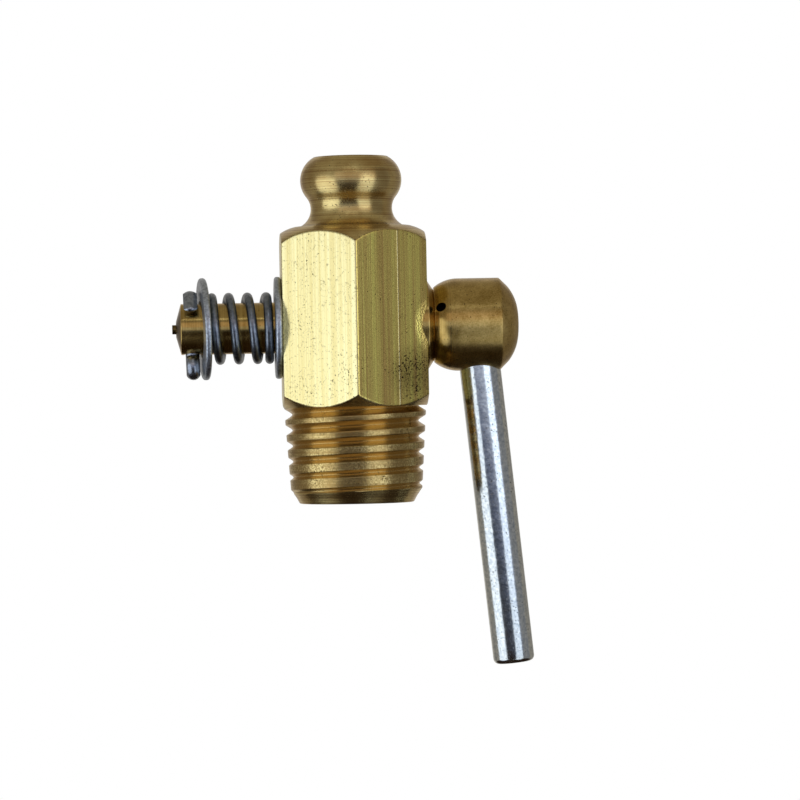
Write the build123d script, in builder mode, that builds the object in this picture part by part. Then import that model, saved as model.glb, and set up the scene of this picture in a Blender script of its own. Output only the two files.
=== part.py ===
from build123d import *
import math
import os

# A small brass drain tap with a spring-loaded taper plug. Millimetres, +Z up.
# The origin is on the axis of the pipe thread, at its end face. The plug lies along X, with its head at +X.

os.makedirs("parts", exist_ok=True)

# Pipe thread end of the body: a taper blank with a helical groove of even depth from the axis
thread_end_radius = 5.2
thread_lead_length = 1.27
thread_small_radius = 5.93
thread_large_radius = 6.42
thread_edge_break = 0.2
thread_pitch = 1.411
thread_root_radius = 5.69
thread_root_flat = 0.25
thread_flank_degrees = 30.0
thread_least_crest = 0.1
thread_groove_start = 0.28
thread_groove_over = 0.2

# Hexagon of the body
hex_across_flats = 13.0
hex_bottom = 8.7
hex_length = 16.22
hex_shoulder_height = 1.55
hex_shoulder_radius = 3.7
hex_shoulder_land_radius = 5.25

# Hose end of the body: a neck that swells into a rounded bulb
neck_radius = 3.67
neck_height_above_hex = 1.63
neck_foot_radius = 4.8
bulb_radius = 4.57
bulb_height_above_hex = 4.18
bulb_curve_radius = 2.4
hose_end_height_above_hex = 6.28

# Water way through the body and the port of the plug
water_way_radius = 2.25
water_way_chamfer = 0.3

# Taper plug, on an axis across the body
plug_height = 15.9
seat_small_radius = 3.36
seat_taper_degrees = 3.1
seat_clearance = 0.03
seat_recess = 0.5
collar_stand_out = 0.15
collar_face_length = 0.55
waist_radius = 3.2
waist_length = 0.06
head_radius = 4.17
head_shoulder_length = 2.14
head_shoulder_radius = 3.33
head_length = 7.6
head_chamfer = 0.8
head_nose_length = 0.9
head_nose_radius = 4.13
head_nose_flat_radius = 0.72

# Tail of the plug, which carries the spring
tail_radius = 2.3
tail_length = 9.55
tail_cone_length = 0.45
tail_cone_end_radius = 0.7
tail_pip_radius = 0.42
tail_pip_length = 0.35

# Lever rod, pressed into the head
lever_radius = 1.85
lever_length = 30.75
lever_tilt_degrees = 5.55
lever_end_round = 0.5
lever_hole_past_axis = 2.0
lever_fit_clearance = 0.01
lever_along_head = 0.49

# Washers
washer_radius = 4.6
washer_thickness = 0.6
washer_edge_round = 0.25
washer_clearance = 0.3
seat_washer_gap = 0.02
end_washer_turn_degrees = 5.0
end_lean_degrees = 1.6

# Spring
spring_wire_radius = 0.4
spring_clearance = 0.14
spring_start_turn = 0.25
spring_lead_turns = 0.5
spring_lead_pitch = 1.02
spring_active_turns = 2.8
spring_closed_turns = 0.65
spring_closed_pitch = 0.35
spring_end_gap = 0.03

# Split pin, through the tail near its end
pin_radius = 0.68
pin_hole_clearance = 0.12
pin_end_distance = 0.93
pin_slit = 0.06
pin_eye_radius = 0.56
pin_eye_flare_radius = 0.7
pin_leg_bend_radius = 0.9
pin_bend_start = 0.25
pin_front_bend_degrees = 140.0
pin_front_leg = 1.75
pin_back_bend_degrees = 100.0
pin_back_leg = 0.2
pin_washer_gap = 0.04

# Places that follow from the sizes above
hex_corner_radius = hex_across_flats / math.sqrt(3)
hex_flat_distance = hex_across_flats / 2
hex_top = hex_bottom + hex_length
hex_shoulder_start = hex_top - hex_shoulder_height
hex_chamfer_length = hex_corner_radius - hex_flat_distance
neck_height = hex_top + neck_height_above_hex
bulb_height = hex_top + bulb_height_above_hex
hose_end_height = hex_top + hose_end_height_above_hex
plug_plane = Plane.XY.offset(plug_height)
plug_axis = Axis((0, 0, plug_height), (1, 0, 0))
water_axis = Axis.Z

# Section of the thread's groove, from its root to a little outside the blank.
# The crests stand no higher than where the flanks beside them leave the least crest.
thread_flank_slope = math.tan(math.radians(thread_flank_degrees))
thread_root_half = thread_root_flat / 2
thread_crest_room = (thread_pitch - thread_least_crest) / 2 - thread_root_half
thread_full_radius = thread_root_radius + thread_crest_room / thread_flank_slope
thread_low_crest_radius = min(thread_small_radius, thread_full_radius)
thread_high_crest_radius = min(thread_large_radius, thread_full_radius)
thread_groove_radius = thread_high_crest_radius + thread_groove_over
thread_groove_rise = (thread_groove_radius - thread_root_radius) * thread_flank_slope
thread_groove_half = thread_root_half + thread_groove_rise
thread_turns = math.ceil((hex_bottom + thread_groove_half - thread_groove_start) / thread_pitch)

# The neck's hollow curve and the bulb's round curve meet with one tangent.
# Another hollow curve runs from the neck out to its foot on the hexagon.
bulb_curve_centre = bulb_radius - bulb_curve_radius
neck_to_centre = neck_radius - bulb_curve_centre
neck_rise = bulb_height - neck_height
neck_curve_radius = (neck_to_centre**2 + neck_rise**2 - bulb_curve_radius**2) / (
    2 * (bulb_curve_radius - neck_to_centre)
)
neck_curve_centre = neck_radius + neck_curve_radius
neck_bulb_share = bulb_curve_radius / (bulb_curve_radius + neck_curve_radius)
neck_bulb_radius = bulb_curve_centre + (neck_curve_centre - bulb_curve_centre) * neck_bulb_share
neck_bulb_height = bulb_height - neck_rise * neck_bulb_share
neck_flare = neck_foot_radius - neck_radius
neck_foot_curve_radius = (neck_flare**2 + neck_height_above_hex**2) / (2 * neck_flare)
bulb_top_rise = hose_end_height - bulb_height
bulb_top_radius = bulb_curve_centre + math.sqrt(bulb_curve_radius**2 - bulb_top_rise**2)

# Stations of the plug along X
seat_taper = math.tan(math.radians(seat_taper_degrees))
seat_start = seat_recess - hex_flat_distance
collar_x = hex_flat_distance + collar_stand_out
collar_radius = seat_small_radius + (collar_x - seat_start) * seat_taper
cross_bore_small_radius = seat_small_radius + seat_clearance - (hex_corner_radius + seat_start) * seat_taper
cross_bore_large_radius = seat_small_radius + seat_clearance + (hex_corner_radius - seat_start) * seat_taper
waist_x = collar_x + collar_face_length
head_start = waist_x + waist_length
head_shoulder_end = head_start + head_shoulder_length
head_shoulder_centre = head_radius - head_shoulder_radius
head_start_radius = head_shoulder_centre + math.sqrt(head_shoulder_radius**2 - head_shoulder_length**2)
head_end = head_start + head_length
head_chamfer_start = head_end - head_nose_length - head_chamfer
head_nose_start = head_end - head_nose_length
tail_end = seat_start - tail_length
tail_cone_end = tail_end - tail_cone_length
pin_x = tail_end + pin_end_distance

# Stations of the lever, along its own axis and away from the axis of the plug
lever_x = head_start + lever_along_head * head_length
lever_tilt = math.radians(lever_tilt_degrees)
lever_direction = Vector(math.sin(lever_tilt), 0, -math.cos(lever_tilt))
lever_start = Vector(lever_x, 0, plug_height) - lever_direction * lever_hole_past_axis
lever_plane = Plane(origin=lever_start, x_dir=(0, 1, 0), z_dir=lever_direction)
lever_total_length = lever_length + lever_hole_past_axis

# Stations of the split pin, in the plane across the tail through its hole. It leans a little in the hole.
end_lean = math.radians(end_lean_degrees)
pin_across = Vector(math.cos(end_lean), 0, math.sin(end_lean))
pin_plane = Plane(origin=(pin_x, 0, plug_height), x_dir=(0, 1, 0), z_dir=pin_across)
pin_half_slit = pin_slit / 2
pin_flare_start = -tail_radius
pin_flare_centre = pin_half_slit + pin_eye_flare_radius
pin_eye_drop = math.sqrt((pin_eye_flare_radius + pin_eye_radius) ** 2 - pin_flare_centre**2)
pin_eye_centre = pin_flare_start - pin_eye_drop
pin_flare_degrees = math.degrees(math.asin(pin_eye_drop / (pin_eye_flare_radius + pin_eye_radius)))
pin_eye_degrees = 180 + 2 * pin_flare_degrees
pin_bend_height = tail_radius + pin_bend_start
pin_bend_centre = pin_half_slit + pin_leg_bend_radius
pin_eye_reach = pin_eye_radius + pin_radius

# Stations of the spring and its washers along X
seat_washer_x = -hex_flat_distance - seat_washer_gap - washer_thickness / 2
end_washer_turn = math.tan(math.radians(end_washer_turn_degrees))
end_washer_normal = Vector(1, end_washer_turn, math.tan(end_lean)).normalized()
end_washer_half = washer_thickness / 2 / end_washer_normal.X
end_washer_off_pin = pin_radius + pin_washer_gap + pin_eye_reach * end_washer_turn
end_washer_x = pin_x + end_washer_off_pin / math.cos(end_lean) + end_washer_half
washer_hole_radius = tail_radius + washer_clearance
spring_radius = tail_radius + spring_clearance + spring_wire_radius
spring_outer_radius = spring_radius + spring_wire_radius
spring_end_offset = spring_wire_radius + spring_end_gap
spring_start = end_washer_x + end_washer_half - spring_radius * end_washer_turn + spring_end_offset
spring_end = seat_washer_x - washer_thickness / 2 - spring_end_offset
spring_active_start = spring_start + spring_lead_pitch * spring_lead_turns
spring_active_end = spring_end - spring_closed_pitch * spring_closed_turns
spring_active_pitch = (spring_active_end - spring_active_start) / spring_active_turns
spring_active_turn = spring_start_turn + spring_lead_turns
spring_closed_turn = spring_active_turn + spring_active_turns


def spring_run(first_turn, x, pitch, turns):
    """One stretch of the spring's centre line, from x on. Turns are counted from below the plug's axis."""
    centre = (x, 0, plug_height)
    stretch = Helix(pitch, pitch * turns, spring_radius, centre, (1, 0, 0), mode=Mode.PRIVATE)
    return stretch.rotate(plug_axis, 180 + 360 * first_turn)


# Threaded shank: the taper blank, with the groove cut one turn at a time
with BuildPart() as shank:
    with BuildSketch(Plane.XZ):
        with BuildLine():
            Polyline(
                (0, 0),
                (thread_end_radius - thread_edge_break, 0),
                (thread_end_radius, thread_edge_break),
                (thread_low_crest_radius, thread_lead_length),
                (thread_high_crest_radius, hex_bottom),
                (0, hex_bottom),
                close=True,
            )
        make_face()
    revolve(axis=water_axis)
    for turn in range(thread_turns):
        groove_height = thread_groove_start + turn * thread_pitch
        with BuildSketch(Plane.XZ) as groove_section:
            with BuildLine():
                Polyline(
                    (thread_root_radius, groove_height - thread_root_half),
                    (thread_groove_radius, groove_height - thread_groove_half),
                    (thread_groove_radius, groove_height + thread_groove_half),
                    (thread_root_radius, groove_height + thread_root_half),
                    close=True,
                )
            make_face()
        with BuildLine() as groove_line:
            Helix(thread_pitch, thread_pitch, thread_root_radius, (0, 0, groove_height))
        sweep(groove_section.sketch, path=groove_line.line, is_frenet=True, mode=Mode.SUBTRACT)

# Body: the turned envelope, with the hexagon left between its two turned chamfers
with BuildPart() as body:
    with BuildSketch(Plane.XY.offset(hex_bottom)):
        RegularPolygon(hex_corner_radius, 6, rotation=30)
    extrude(amount=hex_length)
    with BuildSketch(Plane.XZ):
        with BuildLine():
            Polyline(
                (0, hex_bottom),
                (hex_flat_distance, hex_bottom),
                (hex_corner_radius, hex_bottom + hex_chamfer_length),
                (hex_corner_radius, hex_shoulder_start),
            )
            RadiusArc(
                (hex_corner_radius, hex_shoulder_start),
                (hex_shoulder_land_radius, hex_top),
                -hex_shoulder_radius,
            )
            Polyline((hex_shoulder_land_radius, hex_top), (0, hex_top), (0, hex_bottom))
        make_face()
    revolve(axis=water_axis, mode=Mode.INTERSECT)
    add(shank.part)
    with BuildSketch(Plane.XZ):
        with BuildLine():
            Polyline((0, hose_end_height), (0, hex_top), (neck_foot_radius, hex_top))
            RadiusArc((neck_foot_radius, hex_top), (neck_radius, neck_height), neck_foot_curve_radius)
            RadiusArc((neck_radius, neck_height), (neck_bulb_radius, neck_bulb_height), neck_curve_radius)
            RadiusArc(
                (neck_bulb_radius, neck_bulb_height),
                (bulb_top_radius, hose_end_height),
                -bulb_curve_radius,
            )
            Line((bulb_top_radius, hose_end_height), (0, hose_end_height))
        make_face()
    revolve(axis=water_axis)
    with BuildSketch(plug_plane):
        with BuildLine():
            Polyline(
                (-hex_corner_radius, 0),
                (-hex_corner_radius, cross_bore_small_radius),
                (hex_corner_radius, cross_bore_large_radius),
                (hex_corner_radius, 0),
                close=True,
            )
        make_face()
    revolve(axis=plug_axis, mode=Mode.SUBTRACT)
    with BuildSketch(Plane.XZ):
        with BuildLine():
            Polyline(
                (0, 0),
                (water_way_radius + water_way_chamfer, 0),
                (water_way_radius, water_way_chamfer),
                (water_way_radius, hose_end_height - water_way_chamfer),
                (water_way_radius + water_way_chamfer, hose_end_height),
                (0, hose_end_height),
                close=True,
            )
        make_face()
    revolve(axis=water_axis, mode=Mode.SUBTRACT)
body.part.label = "body"
export_step(body.part, "parts/body.step")

# Plug: one turned profile from the pip on its tail to the nose of its head, then the port and the two holes
with BuildPart() as plug:
    with BuildSketch(plug_plane):
        with BuildLine():
            Polyline(
                (head_end, 0),
                (tail_cone_end - tail_pip_length, 0),
                (tail_cone_end - tail_pip_length, tail_pip_radius),
                (tail_cone_end, tail_pip_radius),
                (tail_cone_end, tail_cone_end_radius),
                (tail_end, tail_radius),
                (seat_start, tail_radius),
                (seat_start, seat_small_radius),
                (collar_x, collar_radius),
                (waist_x, waist_radius),
                (head_start, waist_radius),
                (head_start, head_start_radius),
            )
            RadiusArc(
                (head_start, head_start_radius),
                (head_shoulder_end, head_radius),
                head_shoulder_radius,
            )
            Polyline(
                (head_shoulder_end, head_radius),
                (head_chamfer_start, head_radius),
                (head_nose_start, head_radius - head_chamfer),
            )
            RadiusArc(
                (head_nose_start, head_radius - head_chamfer),
                (head_end, head_nose_flat_radius),
                head_nose_radius,
            )
            Line((head_end, head_nose_flat_radius), (head_end, 0))
        make_face()
    revolve(axis=plug_axis)
    with BuildSketch(plug_plane):
        Circle(water_way_radius)
        with Locations((pin_x, 0)):
            Circle(pin_radius + pin_hole_clearance)
    extrude(amount=collar_radius, both=True, mode=Mode.SUBTRACT)
    with BuildSketch(lever_plane):
        Circle(lever_radius + lever_fit_clearance)
    extrude(amount=lever_total_length, mode=Mode.SUBTRACT)
plug.part.label = "plug"
export_step(plug.part, "parts/plug.step")

# Lever: a cut length of rod with its outer end rounded over
with BuildPart() as lever:
    with BuildSketch(lever_plane):
        Circle(lever_radius)
    extrude(amount=lever_total_length)
    fillet(lever.edges().filter_by(GeomType.CIRCLE).sort_by(Axis.Z)[0], lever_end_round)
lever.part.label = "lever"
export_step(lever.part, "parts/lever.step")

# Seat washer: flat against the hexagon
with BuildPart() as seat_washer:
    with BuildSketch(Plane(origin=(seat_washer_x, 0, plug_height), z_dir=(1, 0, 0))):
        Circle(washer_radius)
        Circle(washer_hole_radius, mode=Mode.SUBTRACT)
    extrude(amount=washer_thickness / 2, both=True)
    fillet(seat_washer.edges().filter_by(GeomType.CIRCLE).sort_by(SortBy.RADIUS)[-2:], washer_edge_round)
seat_washer.part.label = "seat_washer"
export_step(seat_washer.part, "parts/seat_washer.step")

# End washer: the same washer, tipped on the tail where it bears on the split pin
with BuildPart() as end_washer:
    with BuildSketch(Plane(origin=(end_washer_x, 0, plug_height), z_dir=end_washer_normal)):
        Circle(washer_radius)
        Circle(washer_hole_radius, mode=Mode.SUBTRACT)
    extrude(amount=washer_thickness / 2, both=True)
    fillet(end_washer.edges().filter_by(GeomType.CIRCLE).sort_by(SortBy.RADIUS)[-2:], washer_edge_round)
end_washer.part.label = "end_washer"
export_step(end_washer.part, "parts/end_washer.step")

# Spring: open turns, with one end that follows the tipped washer and one that closes on the flat one
with BuildPart() as spring:
    with BuildLine() as spring_line:
        add(spring_run(spring_start_turn, spring_start, spring_lead_pitch, spring_lead_turns))
        add(spring_run(spring_active_turn, spring_active_start, spring_active_pitch, spring_active_turns))
        add(spring_run(spring_closed_turn, spring_active_end, spring_closed_pitch, spring_closed_turns))
    with BuildSketch(Plane(origin=spring_line.line @ 0, z_dir=spring_line.line % 0)):
        Circle(spring_wire_radius)
    sweep(path=spring_line.line, is_frenet=True)
spring.part.label = "spring"
export_step(spring.part, "parts/spring.step")

# Split pin: a half-round wire folded into an eye, with its two legs side by side in the tail and bent apart.
# Its path runs on the flat of the wire, from the front leg's tip round the eye to the back leg's tip.
with BuildPart() as split_pin:
    with BuildLine(pin_plane) as pin_line:
        front_bend = CenterArc(
            (-pin_bend_centre, pin_bend_height),
            pin_leg_bend_radius,
            pin_front_bend_degrees,
            -pin_front_bend_degrees,
        )
        front_leg = Line((front_bend @ 0) - (front_bend % 0) * pin_front_leg, front_bend @ 0)
        Line((-pin_half_slit, pin_bend_height), (-pin_half_slit, pin_flare_start))
        CenterArc((-pin_flare_centre, pin_flare_start), pin_eye_flare_radius, 0, -pin_flare_degrees)
        CenterArc((0, pin_eye_centre), pin_eye_radius, 180 - pin_flare_degrees, pin_eye_degrees)
        CenterArc(
            (pin_flare_centre, pin_flare_start),
            pin_eye_flare_radius,
            180 + pin_flare_degrees,
            -pin_flare_degrees,
        )
        Line((pin_half_slit, pin_flare_start), (pin_half_slit, pin_bend_height))
        back_bend = CenterArc(
            (pin_bend_centre, pin_bend_height),
            pin_leg_bend_radius,
            180,
            -pin_back_bend_degrees,
        )
        Line(back_bend @ 1, (back_bend @ 1) + (back_bend % 1) * pin_back_leg)
    with BuildSketch(Plane(origin=front_leg @ 0, x_dir=pin_across, z_dir=front_leg % 0)):
        Circle(pin_radius)
        Rectangle(2 * pin_radius, pin_radius, align=(Align.CENTER, Align.MAX), mode=Mode.SUBTRACT)
    sweep(path=pin_line.line)
split_pin.part.label = "split_pin"
export_step(split_pin.part, "parts/split_pin.step")
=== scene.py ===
"""Looks of a small brass drain tap: fine surfaces, finishes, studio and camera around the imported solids.

Sizes are in millimetres until a mesh is made. +Z runs up the water way and +X along the plug to its head.
Colours are sRGB hex codes.
"""

import logging
import math
from collections.abc import Callable
from dataclasses import dataclass
from enum import Enum
from functools import partial

import bmesh
import bpy
import numpy as np
from bpy.types import Material, Node, NodeSocket, NodeTree, Object
from mathutils import Matrix, Vector

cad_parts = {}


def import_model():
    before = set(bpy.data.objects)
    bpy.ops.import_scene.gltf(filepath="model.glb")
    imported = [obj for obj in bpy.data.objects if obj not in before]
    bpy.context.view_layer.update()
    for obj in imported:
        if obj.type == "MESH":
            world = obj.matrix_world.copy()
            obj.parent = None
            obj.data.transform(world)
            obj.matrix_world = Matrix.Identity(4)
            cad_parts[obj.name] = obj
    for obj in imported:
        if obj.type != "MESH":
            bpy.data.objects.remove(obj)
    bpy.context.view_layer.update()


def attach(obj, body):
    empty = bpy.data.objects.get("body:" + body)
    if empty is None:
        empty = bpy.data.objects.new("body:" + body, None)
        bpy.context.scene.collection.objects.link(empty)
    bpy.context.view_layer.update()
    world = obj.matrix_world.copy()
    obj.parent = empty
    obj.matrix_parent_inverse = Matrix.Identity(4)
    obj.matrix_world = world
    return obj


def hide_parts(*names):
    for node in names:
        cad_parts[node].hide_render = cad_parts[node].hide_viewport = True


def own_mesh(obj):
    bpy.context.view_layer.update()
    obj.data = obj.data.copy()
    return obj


MM = 0.001
PLUG_HEIGHT = 15.9
LEVER_TILT = 5.55
LEVER_X = 10.984
LEVER_PAST_AXIS = 2.0
PIN_X = -14.62
SEAT_WASHER_X = -6.82
END_WASHER_X = -13.49
PUNCH_X = 7.73
PUNCH_ANGLE = 24.5
PUNCH_RADIUS = 0.42
END_LEAN = 1.6
END_TURN = 5.0
UP = (0, 0, 1)
SHARP_ANGLE = 32.0
QUARTER_TURN = 0.25
TOLERANCE = 0.01
# In metres: points this near are one, and faces this thin are none
MERGE_DISTANCE = 2e-7
SLIVER = 1e-8
LOG = logging.getLogger("water_tap")
Pair = tuple[float, float]
Triple = tuple[float, float, float]
Adder = Callable[..., Node]


class Carrier(Enum):
    """The bodies of the part that a piece can ride on."""

    BODY = "body"
    SPRING_SEAT = "spring_seat"
    PLUG = "plug"


def linear(code: str) -> tuple[float, float, float, float]:
    """Turn an sRGB hex colour into the linear colour that a shader reads.

    Args:
        code: colour such as "#C8A050".

    Returns:
        Red, green and blue in linear light, and an alpha of 1.
    """
    srgb = np.array([int(code[i : i + 2], 16) for i in (1, 3, 5)]) / 255
    rgb = np.where(srgb <= 0.04045, srgb / 12.92, ((srgb + 0.055) / 1.055) ** 2.4)
    return (*rgb.tolist(), 1.0)


def add_node(tree: NodeTree, kind: str, inputs: dict | tuple = (), **settings: str) -> Node:
    """Add a shader node with its inputs and its settings.

    Args:
        tree: node tree of a material or of the world.
        kind: Blender's name for the type of node, without the ShaderNode at its start.
        inputs: by name or number of the input, or in order, each a value, a hex colour, an output to link, or a node
            to link by its first output in use.
        settings: properties of the node by name.

    Returns:
        The new node.
    """
    node = tree.nodes.new("ShaderNode" + kind)
    for name, value in settings.items():
        setattr(node, name, value)
    for key, value in inputs.items() if isinstance(inputs, dict) else enumerate(inputs):
        if isinstance(value, Node):
            value = next(socket for socket in value.outputs if socket.enabled)
        if isinstance(value, NodeSocket):
            tree.links.new(value, node.inputs[key])
        else:
            node.inputs[key].default_value = linear(value) if isinstance(value, str) else value
    return node


def blank_material(name: str) -> tuple[Material, Adder]:
    """Make a material without nodes, and give it with a call that adds nodes to it."""
    material = bpy.data.materials.new(name)
    material.use_nodes = True
    material.node_tree.nodes.clear()
    return material, partial(add_node, material.node_tree)


def unit(vectors: np.ndarray) -> np.ndarray:
    """Give vectors of the same directions and of length 1."""
    return vectors / np.linalg.norm(vectors, axis=-1, keepdims=True)


def joined(*stretches: np.ndarray) -> np.ndarray:
    """Give several stretches of points as one line."""
    return np.concatenate(stretches)


def run(start: Pair, end: Pair, count: int) -> np.ndarray:
    """Give points spread evenly on the straight line from start to end, both included."""
    share = np.linspace(0.0, 1.0, count)[:, None]
    return (1 - share) * np.array(start) + share * np.array(end)


def bow(centre: Pair, radius: float, first: float, last: float, count: int) -> np.ndarray:
    """Give points on a circle about centre, from the first angle to the last, in degrees."""
    angle = np.radians(np.linspace(first, last, count))
    return np.array(centre) + radius * np.stack([np.cos(angle), np.sin(angle)], axis=-1)


def arc_centre(start: Pair, end: Pair, radius: float) -> np.ndarray:
    """Give the centre of an arc that bulges to the right of the way from start to end.

    It lies left of the chord's middle, at the distance that radius and half the chord leave.
    """
    chord = np.array(end) - np.array(start)
    length = np.hypot(*chord)
    left = np.array([-chord[1], chord[0]]) / length
    return (np.array(start) + np.array(end)) / 2 + left * math.sqrt(radius**2 - length**2 / 4)


def bow_between(start: Pair, end: Pair, radius: float, count: int) -> np.ndarray:
    """Give points on an arc that bulges to the right of the way from start to end, both included."""
    centre = arc_centre(start, end, radius)
    first = np.degrees(np.arctan2(*(np.array(start) - centre)[::-1]))
    turn = np.degrees(2 * np.arcsin(math.dist(start, end) / 2 / radius))
    return bow(tuple(centre), radius, first, first + turn, count)


def eased(corners: np.ndarray, ease: float, steps: int = 4) -> np.ndarray:
    """Round the corners of an open line of points.

    Each inner corner gives way to a parabola that starts and ends at the ease distance along its two sides, or at
    the middle of a side that is too short for that.

    Args:
        corners: points of the line, one row each.
        ease: distance from a corner at which its rounding starts.
        steps: number of points on each rounding.

    Returns:
        The rounded line.
    """
    sides = np.diff(corners, axis=0)
    lengths = np.hypot(sides[:, 0], sides[:, 1])[:, None]
    ways = sides / lengths
    reach = np.minimum(ease, np.minimum(lengths[:-1], lengths[1:]) / 2)
    middle = corners[1:-1]
    before, after = middle - ways[:-1] * reach, middle + ways[1:] * reach
    share = np.linspace(0.0, 1.0, steps)[None, :, None]
    first_leg = (1 - share) * before[:, None] + share * middle[:, None]
    second_leg = (1 - share) * middle[:, None] + share * after[:, None]
    rounding = (1 - share) * first_leg + share * second_leg
    return np.concatenate([corners[:1], rounding.reshape(-1, 2), corners[-1:]])


def lathe(profile: np.ndarray, columns: int) -> np.ndarray:
    """Carry a profile round the local z axis.

    A profile point of radius r and height h goes to (r cos a, r sin a, h) for angles a evenly round the circle.

    Args:
        profile: radius and height of each point.
        columns: number of angles.

    Returns:
        Grid of points, rows along the profile and columns round the axis.
    """
    angle = np.linspace(0.0, 2 * np.pi, columns, endpoint=False)
    radius, height = profile[:, :1], np.broadcast_to(profile[:, 1:], (len(profile), columns))
    return np.stack([radius * np.cos(angle), radius * np.sin(angle), height], -1)


def stand(points: np.ndarray, origin: Triple, along: Triple) -> np.ndarray:
    """Turn points so that their local z axis lies along a direction, and move them to an origin.

    The local x axis goes to the part of +Y that is square to the direction, and the local y axis follows from both.

    Args:
        points: points with x, y and z in the last axis.
        origin: where the local origin goes.
        along: where the local z axis goes.

    Returns:
        The points in the frame of the part.
    """
    z_axis = unit(np.array(along))
    x_axis = unit(np.array([0.0, 1.0, 0.0]) - z_axis[1] * z_axis)
    return points @ np.stack([x_axis, np.cross(z_axis, x_axis), z_axis]) + np.array(origin)


def blend_min(first: np.ndarray, second: np.ndarray, width: float) -> np.ndarray:
    """Give the smaller of two arrays, with the corner between them rounded where they differ by less than width."""
    near = np.maximum(width - np.abs(first - second), 0.0) / width
    return np.minimum(first, second) - near**2 * width / 4


def skin(name: str, points: np.ndarray, wrap_rows: bool = False, wrap_columns: bool = True) -> Object:
    """Make a closed mesh from a grid of points.

    Each point is joined by quads to its next neighbours along its row and column. Points that fall together, at
    poles and seams, are merged, and the faces are turned outwards.

    Args:
        name: name of the new object.
        points: grid of points, in millimetres.
        wrap_rows: whether the last row joins the first.
        wrap_columns: whether the last column joins the first.

    Returns:
        The new object, at the origin.
    """
    rows, columns = points.shape[:2]
    i = np.arange(rows if wrap_rows else rows - 1)[:, None]
    j = np.arange(columns if wrap_columns else columns - 1)[None, :]
    i_next, j_next = (i + 1) % rows, (j + 1) % columns
    quads = np.stack([i * columns + j, i * columns + j_next, i_next * columns + j_next, i_next * columns + j], -1)
    mesh = bpy.data.meshes.new(name)
    mesh.from_pydata(points.reshape(-1, 3) * MM, [], quads.reshape(-1, 4))
    work = bmesh.new()
    work.from_mesh(mesh)
    bmesh.ops.remove_doubles(work, verts=work.verts, dist=MERGE_DISTANCE)
    bmesh.ops.dissolve_degenerate(work, edges=work.edges, dist=SLIVER)
    bmesh.ops.recalc_face_normals(work, faces=work.faces)
    work.to_mesh(mesh)
    work.free()
    piece = bpy.data.objects.new(name, mesh)
    bpy.context.scene.collection.objects.link(piece)
    return piece


def drill(name: str, radius: float, start: Triple, along: Triple, depth: float, sides: int = 72) -> Object:
    """Make a round bar for cutting a hole.

    Args:
        name: name of the new object.
        radius: radius of the hole.
        start: middle of the bar's first end.
        along: direction from there to its other end.
        depth: length of the bar.
        sides: number of sides round it.

    Returns:
        The bar, as an object to be cut away.
    """
    profile = np.array([(0.0, 0.0), (radius, 0.0), (radius, depth), (0.0, depth)])
    return skin(name, stand(lathe(profile, sides), start, along))


def cut(piece: Object, *tools: Object) -> None:
    """Take the shapes of the tools out of a piece, and delete the tools."""
    for tool in tools:
        modifier = piece.modifiers.new(tool.name, "BOOLEAN")
        modifier.operation, modifier.solver, modifier.object = "DIFFERENCE", "EXACT", tool
    whole = piece.data
    piece.data = bpy.data.meshes.new_from_object(piece.evaluated_get(bpy.context.evaluated_depsgraph_get()))
    piece.modifiers.clear()
    bpy.data.meshes.remove(whole)
    for tool in tools:
        bpy.data.meshes.remove(tool.data)


def coordinates(piece: Object) -> np.ndarray:
    """Give a mesh's points in millimetres, one row each."""
    flat = np.empty(len(piece.data.vertices) * 3)
    piece.data.vertices.foreach_get("co", flat)
    return flat.reshape(-1, 3) / MM


def punch_way() -> np.ndarray:
    """Give the direction from the plug's axis out through the punched hole in its head."""
    lean = math.radians(PUNCH_ANGLE)
    return np.array([0.0, -math.cos(lean), math.sin(lean)])


def lever_way() -> Triple:
    """Give the direction from the plug's axis down along the lever."""
    tilt = math.radians(LEVER_TILT)
    return math.sin(tilt), 0.0, -math.cos(tilt)


def mark(piece: Object, name: str, values: np.ndarray) -> None:
    """Keep one number per point on a mesh, for its material to read by name."""
    piece.data.attributes.new(name, "FLOAT", "POINT").data.foreach_set("value", values.astype(np.float32))


@dataclass(frozen=True)
class Finish:
    """A finish of the tap: the metal, its surface, and the material slot of the part that it belongs to."""

    name: str
    slot: str

    def material(self) -> Material:
        """Make the material: a metal shader whose colour, roughness and bump come from the finish's own pattern."""
        material, add = blank_material(self.name)
        place = add("TexCoord").outputs["Object"]
        grain = add("VectorMath", {0: place, "Scale": 1 / MM}, operation="SCALE")
        shader = add("BsdfPrincipled", {"Metallic": 1.0, **self.pattern(add, grain)})
        add("OutputMaterial", {"Surface": shader})
        return material

    def pattern(self, add: Adder, grain: Node) -> dict:
        """Add the nodes of the finish's pattern.

        Args:
            add: call that adds a node to the material.
            grain: node that gives Object coordinates in millimetres.

        Returns:
            Inputs of the metal shader by name.
        """
        raise NotImplementedError


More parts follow.
